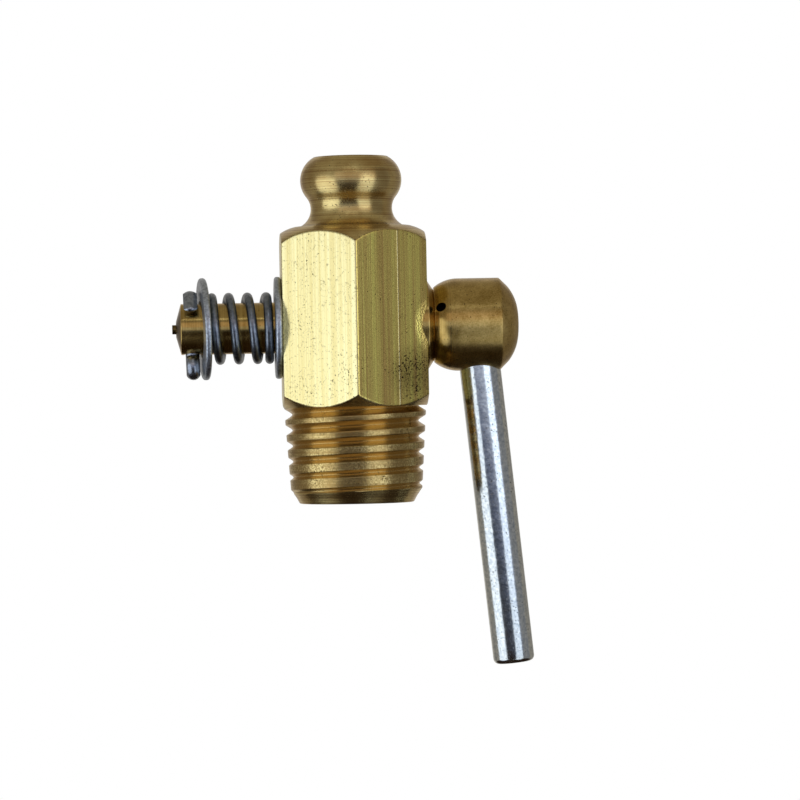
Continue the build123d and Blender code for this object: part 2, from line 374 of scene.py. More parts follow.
@dataclass(frozen=True)
class BarBrass(Finish):
    """Brass of the body: cold-drawn hexagon bar on the flats, lathe-turned ends, and a die-cut thread.

    The die leaves lines along the flats, and the lathe leaves rings that stretch the lights up and down. The mesh
    says by point how far it is inside the drawn skin and below the thread's crests, how much of a painted shade tint
    its flat takes for facing away from the lamps, how much dirt it holds or painted shade it takes in the corner at
    the neck's foot, and where the cross bore has torn the edge.
    """

    flat_pale: str = "#F8ECAF"
    flat_deep: str = "#E3D08A"
    # Painted shade: a deeper, more saturated tone for the flats that face away from the lamps
    shaded_side_pale: str = "#FBED80"
    shaded_side_deep: str = "#D3B166"
    turned_pale: str = "#DEC886"
    turned_deep: str = "#A27F46"
    groove: str = "#C6A768"
    crest: str = "#A88D56"
    # Dark smear: dirt in its patch on a flat, and painted shade in the corner at the neck's foot
    smear_and_shade: str = "#4E381F"
    # Dark specks and scratches of dirt, and painted shade along the edges of the flats
    dirt_and_shade: str = "#33261A"
    drawn_fade: Pair = (-0.01, 0.03)
    groove_fade: Pair = (0.03, 0.14)
    draw_line: float = 0.14
    draw_stretch: float = 0.05
    wide_scale: float = 0.22
    tone_range: Pair = (0.75, 1.25)
    die_line_x: float = 3.8
    die_line_half: float = 0.07
    tool_mark: float = 0.13
    patch_scale: float = 0.35
    speck: float = 0.15
    dull_range: Pair = (0.42, 0.55)
    patch_range: Pair = (0.3, 0.72)
    speck_limit: Pair = (0.77, 0.615)
    grime_specks: float = 0.16
    speck_fade: float = 0.05
    scratch: float = 1.1
    scratch_curl: float = 1.5
    scratch_half: float = 0.02
    scratch_range: Pair = (0.44, 0.58)
    clean_scratch: float = 0.5
    # Painted shade along the edge where a flat meets a turned end
    edge_half: float = 0.07
    edge_shade: float = 0.9
    roughness: float = 0.27
    crest_roughness: float = 0.04
    dirt_roughness: float = 0.25
    crest_relief: float = 2.2
    burr_relief: float = 10.0
    die_relief: float = 4.0
    bump_strength: float = 0.7
    bump: float = 0.012
    anisotropy: float = 0.7

    def pattern(self, add: Adder, grain: Node) -> dict:
        """Add the pattern: the zones' tones with a painted shade tint on the flats, then scratches, dirt and painted
        shade, then the height of the skin.
        """
        drawn_mark, groove_mark, crest, shaded_side, grime_and_shade, burr = (
            add("Attribute", attribute_name=name).outputs["Fac"]
            for name in ("drawn", "groove", "crest", "shaded_side", "grime_and_shade", "burr")
        )
        drawn = add("MapRange", (drawn_mark, *self.drawn_fade))
        groove = add("MapRange", (groove_mark, *self.groove_fade))
        x, y, z = add("SeparateXYZ", (grain,)).outputs
        # Draw lines run the length of the bar, so the pattern is stretched along z
        stretch = (1 / self.draw_line, 1 / self.draw_line, self.draw_stretch)
        stretched = add("Mapping", {"Vector": grain, "Scale": stretch})
        lines = add("TexNoise", {"Vector": stretched, "Scale": 1.0, "Detail": 3.0})
        wide = add("TexNoise", {"Vector": stretched, "Scale": self.wide_scale, "Detail": 2.0})
        streak = add("MapRange", (add("Math", (lines, wide), operation="ADD"), *self.tone_range))
        # One deep line of the die, on the flats where x is its place
        die_way = add("Math", (x, self.die_line_x), operation="SUBTRACT")
        die_off = add("Math", (die_way,), operation="ABSOLUTE")
        die_line = add("MapRange", (die_off, 0.0, self.die_line_half, 1.0, 0.0), interpolation_type="SMOOTHSTEP")
        # Tool marks are rings, so the pattern reads only the distance from the axis and the height
        radius = add("VectorMath", (add("CombineXYZ", (x, y)),), operation="LENGTH")
        rings_at = add("CombineXYZ", {"X": radius, "Z": z})
        rings = add("TexNoise", {"Vector": rings_at, "Scale": 1 / self.tool_mark, "Detail": 2.0})
        patches = add("TexNoise", {"Vector": grain, "Scale": self.patch_scale, "Detail": 3.0})
        ring_tone = add("MapRange", (add("Math", (rings, patches), operation="ADD"), *self.tone_range))
        # The crests are torn and patchy, so the dull crest colour covers them only in places
        specks = add("TexNoise", {"Vector": grain, "Scale": 1 / self.speck, "Detail": 2.0})
        dull = add("MapRange", (specks, *self.dull_range))
        dull_crest = add("Math", (crest, dull), operation="MULTIPLY")
        # Specks of dirt in the pores, gathered in patches, and hair scratches where a curly pattern crosses its mean
        sparse = add("MapRange", (patches, *self.patch_range, *self.speck_limit))
        limit = add("Math", (grime_and_shade, -self.grime_specks, sparse), operation="MULTIPLY_ADD")
        over_limit = add("Math", (specks, limit), operation="SUBTRACT")
        spots = add("MapRange", (over_limit, 0.0, self.speck_fade))
        curl = {"Vector": grain, "Scale": 1 / self.scratch, "Detail": 3.0, "Distortion": self.scratch_curl}
        curl_way = add("Math", (add("TexNoise", curl), 0.5), operation="SUBTRACT")
        curl_off = add("Math", (curl_way,), operation="ABSOLUTE")
        hair = add("MapRange", (curl_off, 0.0, self.scratch_half, 1.0, 0.0))
        here = add("MapRange", (specks, *self.scratch_range))
        scratches = add("MapRange", (grime_and_shade, 0.0, 1.0, self.clean_scratch, 1.0))
        for share in (drawn, here, hair):
            scratches = add("Math", (scratches, share), operation="MULTIPLY")
        # Painted shade: a patchy dark line along the edge where a flat meets a turned end
        edge_off = add("Math", (drawn_mark,), operation="ABSOLUTE")
        edge = add("MapRange", (edge_off, 0.0, self.edge_half, self.edge_shade, 0.0))
        dirt_and_shade = add("Math", (edge, here), operation="MULTIPLY")
        for more in (spots, scratches):
            dirt_and_shade = add("Math", (dirt_and_shade, more), operation="MAXIMUM")
        # The dark smear is dirt in its patch and painted shade in the corner at the neck's foot
        smeared_and_shaded = add("Math", (grime_and_shade, specks), operation="MULTIPLY")
        # Each zone has two tones, and the zones, the dirt and the painted shade lie over each other
        flat, shaded_side_flat, colour = (
            add("Mix", {0: tone, 6: deep, 7: pale}, data_type="RGBA")
            for tone, deep, pale in (
                (streak, self.flat_deep, self.flat_pale),
                (streak, self.shaded_side_deep, self.shaded_side_pale),
                (ring_tone, self.turned_deep, self.turned_pale),
            )
        )
        # Painted shade: the flats that face away from the lamps take the saturated tone
        for share, over in ((shaded_side, shaded_side_flat), (die_line, self.flat_pale)):
            flat = add("Mix", {0: share, 6: flat, 7: over}, data_type="RGBA")
        on_turned = (groove, self.groove), (dull_crest, self.crest)
        for share, over in (*on_turned, (drawn, flat), (smeared_and_shaded, self.smear_and_shade), (dirt_and_shade, self.dirt_and_shade)):
            colour = add("Mix", {0: share, 6: colour, 7: over}, data_type="RGBA")
        crest_rough = add("Math", (crest, self.crest_roughness, self.roughness), operation="MULTIPLY_ADD")
        rough = add("Math", (dirt_and_shade, self.dirt_roughness, crest_rough), operation="MULTIPLY_ADD")
        # The height of the skin: rings or lines, the die's line, torn crests and edge, and pits under the dirt
        ragged = add("Math", (crest, self.crest_relief), operation="MULTIPLY")
        torn = add("Math", (burr, self.burr_relief, ragged), operation="MULTIPLY_ADD")
        cut_skin = add("Math", (torn, specks, rings), operation="MULTIPLY_ADD")
        die_skin = add("Math", (die_line, self.die_relief, lines), operation="MULTIPLY_ADD")
        drawn_skin = add("Math", (torn, specks, die_skin), operation="MULTIPLY_ADD")
        relief = add("Mix", {0: drawn, 2: cut_skin, 3: drawn_skin}, data_type="FLOAT")
        worn = add("Math", (relief, spots), operation="SUBTRACT")
        return {
            "Base Color": colour,
            "Roughness": rough,
            "Normal": add("Bump", {"Height": worn, "Strength": self.bump_strength, "Distance": self.bump * MM}),
            "Tangent": add("Tangent", direction_type="RADIAL", axis="Z"),
            "Anisotropic": self.anisotropy,
            "Anisotropic Rotation": QUARTER_TURN,
        }


@dataclass(frozen=True)
class TurnedBrass(Finish):
    """Brass of the plug: lathe-turned, browned by handling, with fine rings that stretch its lights along it.

    The tail and the head's shoulder have a finer cut than the rest and mirror more sharply. The head is grainy, and
    the cut-off end of the tail and the punched hole are painted dark as shade.
    """

    pale: str = "#D0B26C"
    deep: str = "#957739"
    # Dark specks of dirt, and painted shade on the tail's cut-off end and in the punched hole
    dirt_and_shade: str = "#2A1E12"
    tool_mark: float = 0.12
    grain_size: float = 0.14
    patch_scale: float = 0.9
    tone_range: Pair = (0.65, 1.35)
    speck: float = 0.16
    speck_range: Pair = (0.7, 0.76)
    fine_end: float = 8.5
    fine_fade: float = 0.3
    # Painted shade darkens the tail's cut-off end, which faces left and back
    cut_off: float = -15.58
    cut_off_fade: float = 0.1
    cut_off_shade: float = 0.75
    punch_fade: float = 0.03
    roughness: Pair = (0.21, 0.34)
    bump_strength: float = 0.4
    bump: float = 0.008
    anisotropy: float = 0.75

    def pattern(self, add: Adder, grain: Node) -> dict:
        """Add the pattern: rings about the plug's axis, grain, brown patches, a few specks of dirt, and painted
        shade on the tail's end and in the punched hole.
        """
        centred = add("VectorMath", (grain, (0, 0, PLUG_HEIGHT)), operation="SUBTRACT")
        x, y, z = add("SeparateXYZ", (centred,)).outputs
        radius = add("VectorMath", (add("CombineXYZ", {"Y": y, "Z": z}),), operation="LENGTH")
        rings_at = add("CombineXYZ", (x, radius))
        rings = add("TexNoise", {"Vector": rings_at, "Scale": 1 / self.tool_mark, "Detail": 2.0})
        sand = add("TexNoise", {"Vector": grain, "Scale": 1 / self.grain_size, "Detail": 2.0})
        head = add("MapRange", (x, self.fine_end, self.fine_end + self.fine_fade))
        cut_skin = add("Mix", {0: head, 2: rings, 3: sand}, data_type="FLOAT")
        patches = add("TexNoise", {"Vector": grain, "Scale": self.patch_scale, "Detail": 5.0})
        tone = add("MapRange", (add("Math", (cut_skin, patches), operation="ADD"), *self.tone_range))
        specks = add("TexNoise", {"Vector": grain, "Scale": 1 / self.speck, "Detail": 1.0})
        spots = add("MapRange", (specks, *self.speck_range))
        # Painted shade on the tail's cut-off end
        end_shade = add("MapRange", (x, self.cut_off, self.cut_off - self.cut_off_fade, 0.0, self.cut_off_shade))
        # Painted shade fills the punched hole: all that lies nearer to the hole's line than its wall, on its side of
        # the plug
        way = tuple(punch_way())
        from_hole = add("VectorMath", (centred, (PUNCH_X, 0, 0)), operation="SUBTRACT")
        aside = add("VectorMath", (from_hole, way), operation="CROSS_PRODUCT")
        off_line = add("VectorMath", (aside,), operation="LENGTH")
        along = add("VectorMath", (from_hole, way), operation="DOT_PRODUCT")
        near_line = add("MapRange", (off_line, PUNCH_RADIUS, PUNCH_RADIUS + self.punch_fade, 1.0, 0.0))
        this_side = add("Math", (along, 0.0), operation="GREATER_THAN")
        dirt_and_shade = add("Math", (near_line, this_side), operation="MULTIPLY")
        for more in (spots, end_shade):
            dirt_and_shade = add("Math", (dirt_and_shade, more), operation="MAXIMUM")
        colour = self.deep
        for share, over in ((tone, self.pale), (dirt_and_shade, self.dirt_and_shade)):
            colour = add("Mix", {0: share, 6: colour, 7: over}, data_type="RGBA")
        return {
            "Base Color": colour,
            "Roughness": add("MapRange", (head, 0.0, 1.0, *self.roughness)),
            "Normal": add("Bump", {"Height": cut_skin, "Strength": self.bump_strength, "Distance": self.bump * MM}),
            "Tangent": add("Tangent", direction_type="RADIAL", axis="X"),
            "Anisotropic": self.anisotropy,
            "Anisotropic Rotation": QUARTER_TURN,
        }


@dataclass(frozen=True)
class PlainSteel(Finish):
    """Steel of the small pieces and the lever: two tones in fine grains over shallow dents, and a few pits."""

    pale: str
    deep: str
    roughness: float
    grain_size: float
    bump: float
    dent_size: float = 1.3
    pit_size: float = 0.16
    pit_limit: float = 0.68
    pit_fade: float = 0.06
    pit: str = "#4A4C50"
    tone_range: Pair = (0.3, 0.7)
    bump_strength: float = 0.5

    def pattern(self, add: Adder, grain: Node) -> dict:
        """Add the pattern: mottled tones, pits, and a fine uneven skin."""
        mottle = add("TexNoise", {"Vector": grain, "Scale": 1 / self.grain_size, "Detail": 4.0})
        dents = add("TexNoise", {"Vector": grain, "Scale": 1 / self.dent_size})
        pores = add("TexNoise", {"Vector": grain, "Scale": 1 / self.pit_size})
        pits = add("MapRange", (pores, self.pit_limit, self.pit_limit + self.pit_fade))
        tone = add("MapRange", (mottle, *self.tone_range))
        colour = self.deep
        for share, over in ((tone, self.pale), (pits, self.pit)):
            colour = add("Mix", {0: share, 6: colour, 7: over}, data_type="RGBA")
        uneven = add("Math", (dents, self.dent_size / self.grain_size, mottle), operation="MULTIPLY_ADD")
        pitted = add("Math", (uneven, pits), operation="SUBTRACT")
        bump = add("Bump", {"Height": pitted, "Strength": self.bump_strength, "Distance": self.bump * MM})
        return {"Base Color": colour, "Roughness": self.roughness, "Normal": bump}


@dataclass
class Piece:
    """A piece of the tap that stands for one of its solids."""

    name: str
    node: str
    carrier: Carrier
    finish: Finish

    def build(self) -> Object:
        """Make the piece's mesh."""
        raise NotImplementedError

    def dress(self, piece: Object) -> None:
        """Give the mesh its finish, smooth shading and sharp edges."""
        piece.data.materials.clear()
        piece.data.materials.append(self.finish.material())
        piece.data.polygons.foreach_set("material_index", np.zeros(len(piece.data.polygons), np.int32))
        piece.data.shade_smooth()
        piece.data.set_sharp_from_angle(angle=math.radians(SHARP_ANGLE))

    def make(self) -> Object:
        """Build and dress the piece, and put it in the place of its solid.

        Returns:
            The finished piece.
        """
        piece = self.build()
        self.dress(piece)
        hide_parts(self.node)
        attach(piece, self.carrier.value)
        LOG.info("%s: %d faces on %s", self.name, len(piece.data.polygons), self.carrier.value)
        return piece


@dataclass
class TapBody(Piece):
    """The body: hexagon bar with a taper pipe thread below and a hose end above."""

    bore: float = 2.25
    bore_chamfer: float = 0.3
    thread_end: float = 5.2
    thread_edge: float = 0.2
    lead_top: float = 1.27
    crest_small: float = 5.93
    crest_large: float = 6.42
    thread_pitch: float = 1.411
    thread_root: float = 5.69
    thread_root_round: float = 0.22
    groove_height: float = 0.28
    thread_start: float = 0.55
    hex_flat: float = 6.5
    hex_bottom: float = 8.7
    hex_top: float = 24.92
    hex_corner_power: float = 150.0
    # Painted shade tint of each flat, counted from +X towards +Y: none on the lit front-left flat, most on the
    # front-right
    hex_shaded_side: tuple[float, ...] = (0.7, 0.5, 0.4, 0.3, 0.0, 1.0)
    grime_place: Triple = (5.1, -4.56, 11.4)
    grime_reach: float = 2.0
    # How far the painted shade reaches from the corner at the foot of the neck
    foot_shade_reach: float = 0.5
    shoulder_height: float = 1.55
    shoulder_radius: float = 3.7
    land: float = 5.25
    neck: float = 3.67
    neck_height: float = 26.55
    neck_foot: float = 4.8
    bulb: float = 4.57
    bulb_height: float = 29.1
    bulb_curve: float = 2.4
    top: float = 31.2
    cross_bore: float = 3.39
    cross_bore_start: float = -6.0
    cross_bore_taper: float = math.tan(math.radians(3.1))
    columns_per_side: int = 40
    rows_per_pitch: int = 20
    hex_rows: int = 44
    burr_start: float = 5.4
    burr_reach: float = 0.5
    end_inset: float = 0.02
    end_step: float = 0.05
    end_ease: float = 0.3
    clearance: float = 1.0
    row_gap: float = 0.1
    corner_crowding: float = 0.88
    crest_round: float = 0.06
    flat_blend: float = 0.1
    flat_depth: float = 0.2
    root_margin: float = 0.1
    grime_core: float = 1.5
    cutter_half: float = 9.0
    cutter_sides: int = 128

    @property
    def hex_corner(self) -> float:
        """Distance from the axis to a sharp corner of the hexagon."""
        return self.hex_flat / math.cos(math.radians(30))

    @property
    def shoulder(self) -> tuple[Pair, Pair]:
        """Ends of the rounded shoulder, from the hexagon's corners in to the land, as radius and height."""
        return (self.hex_corner, self.hex_top - self.shoulder_height), (self.land, self.hex_top)

    def bar(self, angle: np.ndarray) -> np.ndarray:
        """Give the distance from the axis to the hexagon's skin at an angle.

        Each side lies at flat distance over the cosine to its normal. Raising those cosines to a high power and
        adding them up takes the nearest side, with the corner between two sides slightly rounded.
        """
        normals = np.radians(np.arange(0, 360, 60))
        facing = np.maximum(np.cos(angle[..., None] - normals), 1e-6)
        return self.hex_flat / (facing**self.hex_corner_power).sum(-1) ** (1 / self.hex_corner_power)

    def crest(self, height: np.ndarray) -> np.ndarray:
        """Give the radius of the thread's crests at a height: the lead cone, then the taper of the pipe thread."""
        return np.interp(
            height,
            [self.thread_edge, self.lead_top, self.hex_bottom],
            [self.thread_end, self.crest_small, self.crest_large],
        )

    def groove(self, angle: np.ndarray, height: np.ndarray) -> np.ndarray:
        """Give the radius of the thread's groove.

        The groove climbs one pitch per turn. Its flanks rise by the root of three times the distance from its
        middle, which is a 60 degree V, and a hyperbola rounds the root.
        """
        middle = self.groove_height + self.thread_pitch * (angle / (2 * np.pi))
        turns = (height - middle) / self.thread_pitch
        aside = (turns - np.round(turns)) * self.thread_pitch
        return self.thread_root + np.sqrt(self.thread_root_round**2 + 3 * aside**2) - self.thread_root_round

    def end_profile(self) -> np.ndarray:
        """Give the profile from the water way's lower mouth out over the end face to the thread's start."""
        mouth = self.bore + self.bore_chamfer
        rim = self.thread_end - self.thread_edge
        edge = [
            (rim - self.end_inset, 0),
            (self.thread_end - self.end_step, self.end_inset),
            (self.crest(self.thread_start), self.thread_start),
        ]
        return joined(
            run((self.bore, self.bore_chamfer), (mouth, 0), 3),
            run((mouth, 0), (rim, 0), 6)[1:],
            eased(np.array(edge), self.end_ease, 6),
        )

    def hose_profile(self) -> np.ndarray:
        """Give the profile of the hose end, from the foot of its neck to the edge of its top.

        A hollow arc runs in from the foot to the neck, a second one out again until it meets the bulb's arc with
        one tangent, and the bulb's arc goes on to the top.
        """
        foot_run, foot_rise = self.neck_foot - self.neck, self.neck_height - self.hex_top
        lower = (foot_run**2 + foot_rise**2) / (2 * foot_run)
        foot_angle = 180 + math.degrees(math.asin(foot_rise / lower))
        inward, rise = self.neck - (self.bulb - self.bulb_curve), self.bulb_height - self.neck_height
        upper = (inward**2 + rise**2 - self.bulb_curve**2) / (2 * (self.bulb_curve - inward))
        join_angle = math.degrees(math.asin(rise / (upper + self.bulb_curve)))
        top_angle = math.degrees(math.asin((self.top - self.bulb_height) / self.bulb_curve))
        bulb_centre = (self.bulb - self.bulb_curve, self.bulb_height)
        return joined(
            bow((self.neck + lower, self.neck_height), lower, foot_angle, 180, 18),
            bow((self.neck + upper, self.neck_height), upper, 180, 180 - join_angle, 14)[1:],
            bow(bulb_centre, self.bulb_curve, -join_angle, top_angle, 44)[1:],
        )

    def upper_profile(self) -> np.ndarray:
        """Give the profile from the hexagon's lower face over the outside and down the water way."""
        mouth, clear = self.bore + self.bore_chamfer, self.hex_corner + self.clearance
        chamfer_top = self.hex_bottom + self.hex_corner - self.hex_flat
        shoulder_start, shoulder_end = self.shoulder
        hose = self.hose_profile()
        return joined(
            run((self.hex_flat, self.hex_bottom), (self.hex_corner, chamfer_top), 26),
            run((clear, chamfer_top + self.row_gap), (clear, shoulder_start[1] - self.row_gap), self.hex_rows),
            bow_between(shoulder_start, shoulder_end, self.shoulder_radius, 28),
            run(shoulder_end, tuple(hose[0]), 5)[1:-1],
            hose,
            run(tuple(hose[-1]), (mouth, self.top), 5)[1:],
            run((mouth, self.top), (self.bore, self.top - self.bore_chamfer), 3)[1:],
            run((self.bore, self.top - self.bore_chamfer), (self.bore, self.bore_chamfer), 16)[1:-1],
        )

    def build(self) -> Object:
        """Make the body: one closed skin over the outside and the water way, with the cross bore cut through.

        The radius at each point is the smaller of the turned profile, the hexagon and the thread's groove. Columns
        crowd at the hexagon's corners. In the thread the rows of points climb with the groove, so that its edges
        run along them.
        """
        share = np.arange(6 * self.columns_per_side + 1) / self.columns_per_side
        crowded = share - self.corner_crowding * np.sin(2 * np.pi * share) / (2 * np.pi)
        angle = np.radians(90 + 60 * crowded)
        below, above = (
            np.broadcast_to(profile[..., None], (*profile.shape, angle.size))
            for profile in (self.end_profile(), self.upper_profile())
        )
        count = int((self.hex_bottom - self.thread_start) / self.thread_pitch * self.rows_per_pitch)
        step = np.arange(-self.rows_per_pitch, count + 2)[:, None] / self.rows_per_pitch
        climb = self.thread_start + self.thread_pitch * (step + (angle - angle[0]) / (2 * np.pi))
        climb = np.clip(climb, self.thread_start, self.hex_bottom)
        shank = blend_min(self.crest(climb), self.groove(angle, climb), self.crest_round)
        height = np.concatenate([below[:, 1], climb, above[:, 1]])
        turned = np.concatenate([below[:, 0], shank, above[:, 0]])
        radius = blend_min(turned, self.bar(angle)[None, :], self.flat_blend)
        points = np.stack([radius * np.cos(angle), radius * np.sin(angle), height], -1)
        piece = skin(self.name, points, wrap_rows=True, wrap_columns=False)
        ends = np.array([-self.cutter_half, self.cutter_half])
        widths = self.cross_bore + (ends - self.cross_bore_start) * self.cross_bore_taper
        cone = np.array([(0, ends[0]), (widths[0], ends[0]), (widths[1], ends[1]), (0, ends[1])])
        cutter = stand(lathe(cone, self.cutter_sides), (0, 0, PLUG_HEIGHT), (1, 0, 0))
        cut(piece, skin("cross_bore", cutter))
        return piece

    def burr(self, place: np.ndarray) -> np.ndarray:
        """Give how near each point is to the torn edge of the cross bore's wide mouth, from 0 to 1."""
        bore = self.cross_bore + (place[:, 0] - self.cross_bore_start) * self.cross_bore_taper
        off = np.hypot(place[:, 1], place[:, 2] - PLUG_HEIGHT) - bore
        near = np.clip(1 - np.abs(off) / self.burr_reach, 0.0, 1.0)
        return np.where((place[:, 0] > self.burr_start) & (off > -TOLERANCE), near, 0.0)

    def dress(self, piece: Object) -> None:
        """Mark the drawn flats, their painted shade tint, dirt and painted shade, and the thread's grooves and
        crests, then finish the mesh.
        """
        place = coordinates(piece)
        angle = np.arctan2(place[:, 1], place[:, 0])
        radius, height = np.hypot(place[:, 0], place[:, 1]), place[:, 2]
        low_cone = self.hex_flat + height - self.hex_bottom
        centre = arc_centre(*self.shoulder, self.shoulder_radius)
        high_cone = centre[0] + np.sqrt(np.maximum(self.shoulder_radius**2 - (height - centre[1]) ** 2, 0.0))
        tool_limit = np.where(height > centre[1], np.minimum(low_cone, high_cone), low_cone)
        outside = radius > self.hex_flat - self.flat_depth
        mark(piece, "drawn", np.where(outside, tool_limit - self.bar(angle), -1.0))
        side = np.round(np.degrees(angle) / 60).astype(int) % 6
        # Painted shade: each flat's share of the saturated tone, by the way that it faces
        mark(piece, "shaded_side", np.array(self.hex_shaded_side)[side])
        # A dirt patch low on the front-right flat, and painted shade in the corner at the foot of the neck
        apart = np.linalg.norm(place - np.array(self.grime_place), axis=1) / self.grime_reach
        from_foot = np.hypot(radius - self.neck_foot, height - self.hex_top) / self.foot_shade_reach
        mark(piece, "grime_and_shade", np.clip(np.maximum(self.grime_core - apart, 1 - from_foot), 0.0, 1.0))
        depth = self.crest(height) - radius
        in_thread = (height > self.lead_top) & (height < self.hex_bottom - TOLERANCE)
        in_thread &= radius > self.thread_root - self.root_margin
        mark(piece, "groove", np.where(in_thread, depth, 0.0))
        mark(piece, "crest", np.where(in_thread, np.clip(1 - depth / self.crest_round, 0.0, 1.0), 0.0))
        mark(piece, "burr", self.burr(place))
        super().dress(piece)


@dataclass
class TaperPlug(Piece):
    """The plug: sprung tail, taper in the body, collar, waist and head, turned in one piece."""

    pip: Pair = (-16.35, 0.42)
    tail_cone_end: Pair = (-16.0, 0.7)
    tail_end: Pair = (-15.55, 2.3)
    seat_start: Pair = (-6.0, 3.36)
    collar: Pair = (6.65, 4.045)
    waist: Pair = (7.2, 3.2)
    head_start: Pair = (7.26, 3.391)
    head_shoulder_end: float = 9.4
    head_shoulder_radius: float = 3.33
    head: float = 4.17
    chamfer_start: Pair = (13.16, 4.17)
    chamfer_end: Pair = (13.96, 3.37)
    nose: Pair = (14.86, 0.72)
    nose_radius: float = 4.13
    port: float = 2.25
    pin_hole: float = 0.8
    lever_hole: float = 1.86
    dimple_floor: float = 2.4
    dimple_depth: float = 2.0
    port_half: float = 6.0
    pin_half: float = 4.0
    lever_depth: float = 20.0
    edge_ease: float = 0.06
    head_ease: float = 0.12
    columns: int = 160

    def build(self) -> Object:
        """Make the plug: its profile carried round its axis, then its port, holes and punched dimple cut."""
        centre = (self.head_shoulder_end, self.head - self.head_shoulder_radius)
        start_angle = math.degrees(math.atan2(self.head_start[1] - centre[1], self.head_start[0] - centre[0]))
        line = [
            (self.pip[0], 0.0),
            self.pip,
            (self.tail_cone_end[0], self.pip[1]),
            self.tail_cone_end,
            self.tail_end,
            (self.seat_start[0], self.tail_end[1]),
            self.seat_start,
            self.collar,
            self.waist,
            (self.head_start[0], self.waist[1]),
            self.head_start,
        ]
        head = [(self.head_shoulder_end, self.head), self.chamfer_start, self.chamfer_end]
        profile = joined(
            eased(np.array(line), self.edge_ease),
            bow(centre, self.head_shoulder_radius, start_angle, 90, 26)[1:-1],
            eased(np.array(head), self.head_ease)[:-1],
            bow_between(self.nose, self.chamfer_end, self.nose_radius, 22)[::-1],
            np.array([(self.nose[0], 0.0)]),
        )
        piece = skin(self.name, stand(lathe(profile[:, ::-1], self.columns), (0, 0, PLUG_HEIGHT), (1, 0, 0)))
        down = lever_way()
        mouth = np.array([LEVER_X, 0.0, PLUG_HEIGHT]) - LEVER_PAST_AXIS * np.array(down)
        outward = punch_way()
        dimple_start = np.array([PUNCH_X, 0.0, PLUG_HEIGHT]) + outward * self.dimple_floor
        cut(
            piece,
            drill("port", self.port, (0, 0, PLUG_HEIGHT - self.port_half), UP, 2 * self.port_half),
            drill("pin_hole", self.pin_hole, (PIN_X, 0, PLUG_HEIGHT - self.pin_half), UP, 2 * self.pin_half, 40),
            drill("lever_hole", self.lever_hole, tuple(mouth), down, self.lever_depth),
            drill("dimple", PUNCH_RADIUS, tuple(dimple_start), tuple(outward), self.dimple_depth, 32),
        )
        return piece


@dataclass
class LeverRod(Piece):
    """The lever: a cut length of round rod, rounded over at its free end."""

    radius: float = 1.85
    hub: Triple = (LEVER_X, 0.0, PLUG_HEIGHT)
    length: float = 30.75
    end_round: float = 0.5
    edge_step: float = 0.05
    columns: int = 96

    def build(self) -> Object:
        """Make the lever: a straight profile with a round end, carried round the lever's axis."""
        flat = self.radius - self.end_round
        profile = joined(
            np.array([(0.0, -LEVER_PAST_AXIS), (self.radius, -LEVER_PAST_AXIS)]),
            run((self.radius, -LEVER_PAST_AXIS + self.edge_step), (self.radius, self.length - self.end_round), 40),
            bow((flat, self.length - self.end_round), self.end_round, 0, 90, 10)[1:],
            np.array([(0.0, self.length)]),
        )
        return skin(self.name, stand(lathe(profile, self.columns), self.hub, lever_way()))


@dataclass
class FlatWasher(Piece):
    """A stamped and tumbled flat washer, with a rounded rim and a sharper hole."""

    centre: Triple = (0.0, 0.0, PLUG_HEIGHT)
    normal: Triple = (1.0, 0.0, 0.0)
    radius: float = 4.6
    hole: float = 2.6
    thickness: float = 0.6
    rim_round: float = 0.25
    hole_round: float = 0.04
    columns: int = 128

    def build(self) -> Object:
        """Make the washer: a rectangle with rounded corners, carried round the washer's axis."""
        inner, outer = self.hole + self.hole_round, self.radius - self.rim_round
        hole_corner, rim_corner = self.thickness / 2 - self.hole_round, self.thickness / 2 - self.rim_round
        profile = joined(
            bow((inner, hole_corner), self.hole_round, 180, 90, 4),
            bow((outer, rim_corner), self.rim_round, 90, 0, 9),
            bow((outer, -rim_corner), self.rim_round, 0, -90, 9),
            bow((inner, -hole_corner), self.hole_round, -90, -180, 4),
        )
        return skin(self.name, stand(lathe(profile, self.columns), self.centre, self.normal), wrap_rows=True)


@dataclass
class CoilSpring(Piece):
    """The spring: open turns of round wire between a steep lead and a closed end, right-handed about +X."""

    start: float = -13.007
    open_start: float = -12.497
    open_end: float = -7.7775
    end: float = -7.55
    start_turn: float = 0.25
    lead_turns: float = 0.5
    open_turns: float = 2.8
    closed_turns: float = 0.65
    radius: float = 2.84
    wire: float = 0.4
    anchor: float = -7.12
    washer_reach: float = -12.7
    lift: float = 1.2
    points: int = 520
    sides: int = 24
    end_sizes: Triple = (0.0, 0.86, 0.97)

    def line(self, count: int) -> tuple[np.ndarray, np.ndarray]:
        """Give the middle line of the wire and the direction from the axis to it.

        The line turns evenly about the plug's axis, counted from below it, and climbs evenly along the axis in each
        of its three stretches.
        """
        knots = self.start_turn + np.cumsum([0.0, self.lead_turns, self.open_turns, self.closed_turns])
        turns = np.linspace(knots[0], knots[-1], count)
        along = np.interp(turns, knots, [self.start, self.open_start, self.open_end, self.end])
        angle = 2 * np.pi * turns
        outward = np.stack([np.zeros(count), np.sin(angle), -np.cos(angle)], -1)
        return np.stack([along, np.zeros(count), np.full(count, PLUG_HEIGHT)], -1) + self.radius * outward, outward

    def build(self) -> Object:
        """Make the spring: a circle carried along the wire's middle line, with its two cut ends closed."""
        middle, outward = self.line(self.points)
        ahead = unit(np.gradient(middle, axis=0))
        beside = unit(np.cross(ahead, outward))
        outward = np.cross(beside, ahead)
        order = np.concatenate([[0, 0], np.arange(len(middle)), [-1, -1]])
        size = np.concatenate([self.end_sizes, np.ones(len(middle) - 2), self.end_sizes[::-1]]) * self.wire
        angle = np.linspace(0, 2 * np.pi, self.sides, endpoint=False)[None, :, None]
        ring = np.cos(angle) * outward[order][:, None] + np.sin(angle) * beside[order][:, None]
        return skin(self.name, middle[order][:, None] + size[:, None, None] * ring)

    def make(self) -> Object:
        """Make the spring and give it a mesh of its own.
        """
        piece = super().make()
        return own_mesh(piece)


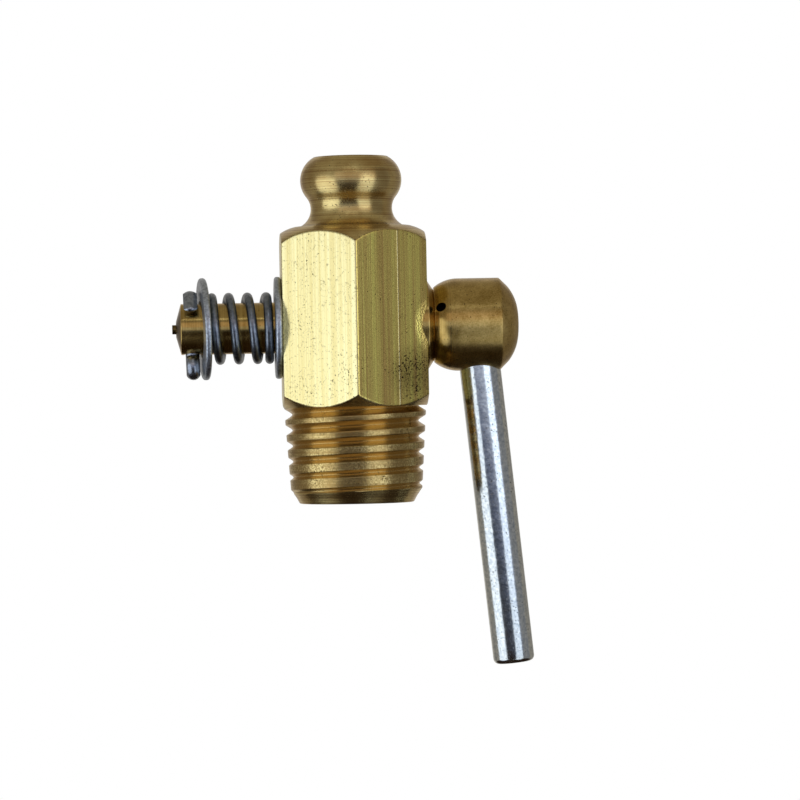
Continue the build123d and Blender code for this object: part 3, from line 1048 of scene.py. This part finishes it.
@dataclass
class SplitPin(Piece):
    """The split pin: half-round wire folded into an eye, its legs side by side in the tail and bent apart."""

    radius: float = 0.68
    half_slit: float = 0.03
    tail: float = 2.3
    eye: float = 0.56
    flare: float = 0.7
    bend: float = 0.9
    bend_height: float = 2.55
    front_bend: float = 140.0
    front_leg: float = 1.75
    back_bend: float = 100.0
    back_leg: float = 0.2
    tip_round: float = 0.3
    flat_half: float = 0.92
    flat_rise: float = 0.02
    flat_hollow: float = 0.42
    corner_angle: float = 24.0
    tip_middle: float = 0.42

    def line(self) -> np.ndarray:
        """Give the path on the flat of the wire, from the front leg's tip round the eye to the back leg's tip.

        It lies in the plane across the tail, as y and the height above the plug's axis.
        """
        flare_centre = self.half_slit + self.flare
        drop = math.sqrt((self.flare + self.eye) ** 2 - flare_centre**2)
        flare_turn = math.degrees(math.asin(drop / (self.flare + self.eye)))
        bend_centre = self.half_slit + self.bend
        front = bow((-bend_centre, self.bend_height), self.bend, self.front_bend, 0, 28)
        back = bow((bend_centre, self.bend_height), self.bend, 180, 180 - self.back_bend, 28)
        front_turn, back_turn = math.radians(self.front_bend), math.radians(90 - self.back_bend)
        front_way = np.array([math.sin(front_turn), -math.cos(front_turn)])
        back_way = np.array([math.cos(back_turn), math.sin(back_turn)])
        # Points crowd at the two tips, which are round
        crowd = np.linspace(1.0, 0.0, 20)[:, None] ** 2
        return joined(
            (front[0] - front_way * self.front_leg * (1 - crowd[::-1]))[:-1],
            front[:-1],
            run((-self.half_slit, self.bend_height), (-self.half_slit, -self.tail), 12)[:-1],
            bow((-flare_centre, -self.tail), self.flare, 0, -flare_turn, 14)[:-1],
            bow((0, -self.tail - drop), self.eye, 180 - flare_turn, 360 + flare_turn, 44)[:-1],
            bow((flare_centre, -self.tail), self.flare, 180 + flare_turn, 180, 14)[:-1],
            run((self.half_slit, -self.tail), (self.half_slit, self.bend_height), 12)[:-1],
            back[:-1],
            back[-1] + back_way * self.back_leg * (1 - crowd),
        )

    def build(self) -> Object:
        """Make the pin: a half circle, its flat worn to a shallow parabola, carried along the path to round tips."""
        path = self.line()
        ahead = unit(np.gradient(path, axis=0))
        outer = np.stack([ahead[:, 1], -ahead[:, 0]], -1)
        aside = np.linspace(self.flat_half, -self.flat_half, 15)
        worn_flat = np.stack([aside, self.flat_rise + self.flat_hollow * aside**2], -1)
        half = joined(worn_flat, bow((0, 0), 1.0, 180 - self.corner_angle, self.corner_angle, 18))
        travel = np.concatenate([[0.0], np.cumsum(np.linalg.norm(np.diff(path, axis=0), axis=1))])
        to_tip = np.clip(np.minimum(travel, travel[-1] - travel) / self.tip_round, 0.0, 1.0)
        size = np.sqrt(1 - (1 - to_tip) ** 2)[:, None]
        across = half[None, :, 0] * size * self.radius
        away = (self.tip_middle + (half[None, :, 1] - self.tip_middle) * size) * self.radius
        flat = path[:, None] + outer[:, None] * away[..., None]
        lean = math.radians(END_LEAN)
        points = (
            np.array([PIN_X, 0.0, PLUG_HEIGHT])
            + across[..., None] * np.array([math.cos(lean), 0.0, math.sin(lean)])
            + flat[..., :1] * np.array([0.0, 1.0, 0.0])
            + flat[..., 1:] * np.array([-math.sin(lean), 0.0, math.cos(lean)])
        )
        return skin(self.name, points)


@dataclass
class Studio:
    """Camera, lamps, floor and white background."""

    focus: Triple = (0.0, 0.0, 12.0)
    lamp_distance: float = 160.0
    card_distance: float = 190.0
    floor_height: float = -180.0
    camera_place: Triple = (-15.3, -360.66, 9.53)
    camera_yaw: float = 3.073
    camera_pitch: float = -0.055
    camera_roll: float = -1.116
    lens: float = 180.0
    sensor: float = 36.0
    clip: Pair = (0.01, 20.0)
    daylight: str = "#E2EDFF"
    white_glow: float = 4.0
    dim_light: str = "#BBBBBB"
    floor_paint: str = "#F4F4F4"
    floor_half: float = 1200.0
    floor_white: Pair = (0.25, 0.6)

    def direction(self, azimuth: np.ndarray, elevation: np.ndarray) -> np.ndarray:
        """Give the direction at an azimuth from the front, positive to the right, and an elevation, in degrees."""
        a, e = np.radians(azimuth), np.radians(elevation)
        return np.stack([np.sin(a) * np.cos(e), -np.cos(a) * np.cos(e), np.sin(e) * np.ones_like(a)], -1)

    def camera(self) -> None:
        """Put the camera where the picture was taken, from its place, yaw, pitch and roll."""
        yaw, pitch, roll = np.radians([self.camera_yaw, self.camera_pitch, self.camera_roll])
        ahead = np.array([np.sin(yaw) * np.cos(pitch), np.cos(yaw) * np.cos(pitch), np.sin(pitch)])
        level = np.array([np.cos(yaw), -np.sin(yaw), 0.0])
        up = np.cross(level, ahead)
        right = np.cos(roll) * level + np.sin(roll) * up
        up = -np.sin(roll) * level + np.cos(roll) * up
        data = bpy.data.cameras.new("photo_camera")
        data.lens, data.sensor_width = self.lens, self.sensor
        data.clip_start, data.clip_end = self.clip
        camera = bpy.data.objects.new("photo_camera", data)
        turn = Matrix(np.stack([right, up, -ahead], -1).tolist()).to_4x4()
        camera.matrix_world = Matrix.Translation(Vector(self.camera_place) * MM) @ turn
        bpy.context.scene.collection.objects.link(camera)
        bpy.context.scene.camera = camera

    def lamp(self, name: str, azimuth: Pair, elevation: Pair, glow: float) -> None:
        """Hang a flat softbox that fills a range of azimuth and elevation seen from the tap.

        Its face is white where it gives as many watts per square metre as white_glow says.

        Args:
            name: name of the lamp.
            azimuth: left and right edge, in degrees from the front.
            elevation: lower and upper edge, in degrees.
            glow: how bright its face is, where 1 is white.
        """
        way = self.direction(np.array(sum(azimuth) / 2), np.array(sum(elevation) / 2))
        spans = np.radians([azimuth[1] - azimuth[0], elevation[1] - elevation[0]])
        width, height = (2 * self.lamp_distance * np.tan(spans / 2) * MM).tolist()
        data = bpy.data.lights.new(name, "AREA")
        data.shape, data.size, data.size_y = "RECTANGLE", width, height
        data.energy = self.white_glow * width * height * glow
        data.color = linear(self.daylight)[:3]
        lamp = bpy.data.objects.new(name, data)
        lamp.location = (np.array(self.focus) + way * self.lamp_distance) * MM
        lamp.rotation_mode = "QUATERNION"
        lamp.rotation_quaternion = (-Vector(way)).to_track_quat("-Z", "Y")
        lamp.visible_camera = False
        bpy.context.scene.collection.objects.link(lamp)

    def card(self, name: str, azimuth: Pair, elevation: Pair, shade: str) -> None:
        """Hang a plain card behind the lamps for the metal to reflect, out of the camera's sight.

        Args:
            name: name of the card.
            azimuth: left and right edge, in degrees from the front.
            elevation: lower and upper edge, in degrees.
            shade: colour of the card.
        """
        around, upward = np.meshgrid(np.linspace(*azimuth, 24), np.linspace(*elevation, 16), indexing="ij")
        points = np.array(self.focus) + self.direction(around, upward) * self.card_distance
        card = skin(name, points, wrap_columns=False)
        material, add = blank_material(name)
        add("OutputMaterial", {"Surface": add("Emission", {"Color": shade, "Strength": 1.0})})
        card.data.materials.append(material)
        card.visible_camera = card.visible_diffuse = card.visible_shadow = False

    def floor(self) -> None:
        """Lay a pale floor far below, which turns plain white away from the tap's shadow."""
        reach = np.array([[(-1, -1), (-1, 1)], [(1, -1), (1, 1)]]) * self.floor_half
        points = np.concatenate([reach, np.full((2, 2, 1), self.floor_height)], -1)
        floor = skin("floor", points, wrap_columns=False)
        material, add = blank_material("pale_floor")
        paint = add("BsdfDiffuse", {"Color": self.floor_paint})
        white = add("Emission", {"Strength": 1.0})
        away = add("VectorMath", (add("TexCoord").outputs["Object"],), operation="LENGTH")
        far = add("MapRange", (away, *self.floor_white))
        seen = add("Math", (far, add("LightPath").outputs["Is Camera Ray"]), operation="MULTIPLY")
        add("OutputMaterial", {"Surface": add("MixShader", (seen, paint, white))})
        floor.data.materials.append(material)

    def world(self) -> None:
        """Make the background white for the camera and in the metal, and a soft grey as light."""
        world = bpy.data.worlds.new("white_room")
        bpy.context.scene.world = world
        world.use_nodes = True
        world.node_tree.nodes.clear()
        add = partial(add_node, world.node_tree)
        rays = add("LightPath").outputs
        seen = rays["Is Camera Ray"]
        for kind in ("Is Glossy Ray", "Is Transmission Ray"):
            seen = add("Math", (seen, rays[kind]), operation="MAXIMUM")
        soft, white = (add("Background", {"Color": shade, "Strength": 1.0}) for shade in (self.dim_light, "#FFFFFF"))
        add("OutputWorld", {"Surface": add("MixShader", (seen, soft, white))})

    def build(self) -> None:
        """Set up the whole studio: two softboxes, a strip above, and cards all round that the metal mirrors."""
        bpy.context.scene.view_settings.view_transform = "Standard"
        self.camera()
        self.lamp("left_softbox", (-90, -38), (-52, 20), 1.06)
        self.lamp("right_softbox", (18, 53), (-52, 20), 1.0)
        self.lamp("top_strip", (-16, 12), (42, 47), 1.1)
        front = (-40, 56)
        self.card("front_low_card", front, (-35, -14), "#23170D")
        self.card("front_navy_card", front, (-14, -8), "#3A3E49")
        self.card("front_dim_card", front, (-8, -3), "#656C88")
        self.card("front_lilac_card", front, (-3, 9), "#C4CBE2")
        self.card("front_pink_card", front, (9, 30), "#D2C5C4")
        self.card("front_top_card", front, (30, 42), "#94908D")
        self.card("left_card", (-150, -40), (-35, 42), "#928D87")
        self.card("right_dark_card", (56, 98), (-35, 42), "#86868A")
        self.card("right_card", (98, 150), (-35, 42), "#928D87")
        self.card("back_card", (150, 210), (-35, 42), "#C4BFB8")
        self.card("top_card", (-180, 180), (42, 89), "#9C978D")
        self.card("low_card", (-180, 180), (-89, -35), "#2A2018")
        self.floor()
        self.world()


def tap_pieces() -> list[Piece]:
    """Give the pieces of the tap, from the body out."""
    # Brass bar, drawn to a hexagon and turned at both ends: pale streaked flats, ringed ends
    bar = BarBrass("drawn_and_turned_brass", "drawn_brass")
    # The same brass turned all over and handled: browner, with lights drawn out along it
    turned = TurnedBrass("turned_brass_plug", "turned_brass")
    # Steel rod, plated with bright zinc: a pale mirror with small dents and pits
    zinc = PlainSteel(
        "bright_zinc_plate",
        "zinc_plate",
        "#E4E6DE",
        "#B9C0C1",
        roughness=0.17,
        grain_size=0.3,
        bump=0.009,
        pit_limit=0.645,
    )
    # Sheet steel, stamped and tumbled: pale dull grey with a mottled skin
    stamped = PlainSteel(
        "stamped_steel", "washer_steel", "#CBD2D9", "#8D959D", roughness=0.4, grain_size=0.22, bump=0.01
    )
    # Hard-drawn spring wire: smooth dark grey
    wire = PlainSteel(
        "dark_spring_wire", "spring_steel", "#8C939B", "#62686F", roughness=0.32, grain_size=0.3, bump=0.004
    )
    # Soft half-round wire, folded: smooth mid grey
    pin = PlainSteel(
        "grey_pin_wire", "pin_steel", "#AEB4BC", "#7C828A", roughness=0.28, grain_size=0.3, bump=0.005
    )
    turn, lean = math.radians(END_TURN), math.radians(END_LEAN)
    end_normal = (math.cos(turn) * math.cos(lean), math.sin(turn) * math.cos(lean), math.sin(lean))
    seat_centre, end_centre = (SEAT_WASHER_X, 0.0, PLUG_HEIGHT), (END_WASHER_X, 0.0, PLUG_HEIGHT)
    return [
        TapBody("brass_body", "body", Carrier.BODY, bar),
        TaperPlug("brass_plug", "plug", Carrier.PLUG, turned),
        LeverRod("zinc_lever", "lever", Carrier.PLUG, zinc),
        FlatWasher("steel_seat_washer", "seat_washer", Carrier.SPRING_SEAT, stamped, seat_centre),
        FlatWasher("steel_end_washer", "end_washer", Carrier.PLUG, stamped, end_centre, end_normal),
        CoilSpring("wire_spring", "spring", Carrier.SPRING_SEAT, wire),
        SplitPin("wire_split_pin", "split_pin", Carrier.PLUG, pin),
    ]


def main() -> None:
    """Load the solids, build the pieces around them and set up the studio."""
    logging.basicConfig(level=logging.INFO, format="%(name)s: %(message)s")
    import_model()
    for piece in tap_pieces():
        piece.make()
    Studio().build()


if __name__ == "__main__":
    main()
